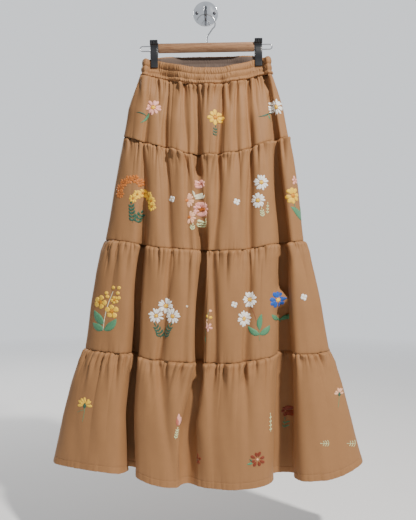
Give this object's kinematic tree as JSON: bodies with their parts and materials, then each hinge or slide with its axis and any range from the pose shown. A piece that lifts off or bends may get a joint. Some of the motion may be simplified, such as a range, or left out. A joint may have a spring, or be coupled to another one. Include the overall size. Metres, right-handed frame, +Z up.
{
  "type": "tiered maxi skirt on a clip hanger and wall hook",
  "caption": "Gathered, tiered maxi skirt with an elastic waistband and embroidered flowers, clipped to a wooden bar hanger that hangs from a round wall hook.",
  "frame": {"origin": "centre of the wall plate's back face, which lies on the wall", "axes": "+Z up, +Y into the wall, +X to the right as seen from the front; the skirt's front faces -Y"},
  "size_m": [0.76, 0.1706, 1.1944],
  "materials": {
    "cloth": "smooth tan-brown woven cloth with a soft satin sheen, embroidered in coloured thread",
    "wood": "pale natural wood, lightly lacquered",
    "plastic": "black moulded plastic, ribbed grips",
    "steel": "bright drawn steel wire",
    "chrome": "polished chrome with light wear",
    "screws": "dark steel screw heads"
  },
  "bodies": {
    "root": {"waistband": "cloth", "tier_1_front": "cloth", "tier_1_back": "cloth", "tier_2_front": "cloth", "tier_2_back": "cloth", "tier_3_front": "cloth", "tier_3_back": "cloth", "tier_4_front": "cloth", "tier_4_back": "cloth", "hanger_bar": "wood", "hanger_hook": "steel", "rail_left": "steel", "rail_right": "steel", "clip_left_front_jaw": "plastic", "clip_left_back_jaw": "plastic", "clip_left_core": "plastic", "clip_right_front_jaw": "plastic", "clip_right_back_jaw": "plastic", "clip_right_core": "plastic", "wall_plate": "chrome", "wall_prong": "chrome", "screw_left": "screws", "screw_right": "screws"}
  },
  "joints": []
}
